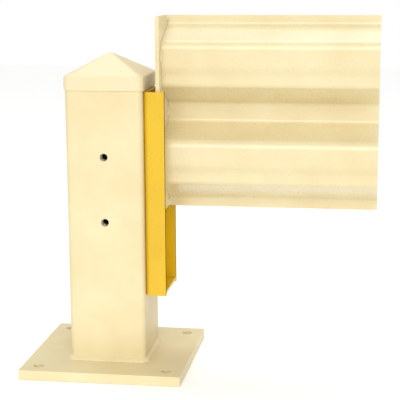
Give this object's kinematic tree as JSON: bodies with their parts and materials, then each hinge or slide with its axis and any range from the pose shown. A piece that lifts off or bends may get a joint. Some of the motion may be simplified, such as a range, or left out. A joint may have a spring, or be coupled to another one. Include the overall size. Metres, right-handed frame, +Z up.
{
  "type": "guard rail post",
  "caption": "Square steel guard-rail post on a base plate, with a pyramid cap and a drop-in bracket that holds the end of a two-rib corrugated rail.",
  "frame": {"origin": "centre of the base plate's underside, on the post's axis", "axes": "+X along the rail, away from the post; +Y to the back of the rail; +Z up"},
  "size_m": [0.5713, 0.2666, 0.581],
  "materials": {
    "post_paint": "pale yellow gloss powder coat",
    "cap_plastic": "moulded, satin to gloss, pale yellow",
    "rail_paint": "pale yellow gloss powder coat over rolled sheet",
    "bracket_paint": "safety yellow gloss powder coat",
    "bolt_steel": "zinc plated",
    "nut_steel": "bare machined steel"
  },
  "bodies": {
    "post": {"base_plate": "post_paint", "post_tube": "post_paint", "foot_weld": "post_paint", "post_cap": "cap_plastic", "weld_nut_front_lower": "nut_steel", "weld_nut_front_upper": "nut_steel", "weld_nut_right_lower": "nut_steel", "weld_nut_right_upper": "nut_steel", "weld_nut_back_lower": "nut_steel", "weld_nut_back_upper": "nut_steel", "weld_nut_left_lower": "nut_steel", "weld_nut_left_upper": "nut_steel", "bracket_channel": "bracket_paint", "bracket_floor": "bracket_paint", "bracket_floor_weld": "bracket_paint", "bracket_bolt_lower": "bolt_steel", "bracket_bolt_upper": "bolt_steel", "lock_washer_lower": "bolt_steel", "lock_washer_upper": "bolt_steel", "flat_washer_lower": "bolt_steel", "flat_washer_upper": "bolt_steel"},
    "rail": {"rail_panel": "rail_paint", "rail_end_plate": "rail_paint", "rail_end_weld": "rail_paint"}
  },
  "joints": [
    {"name": "rail_lift", "type": "slide", "parent": "post", "child": "rail", "axis": [0, 0, 1], "range_m": [-0.127, 0.21]}
  ]
}
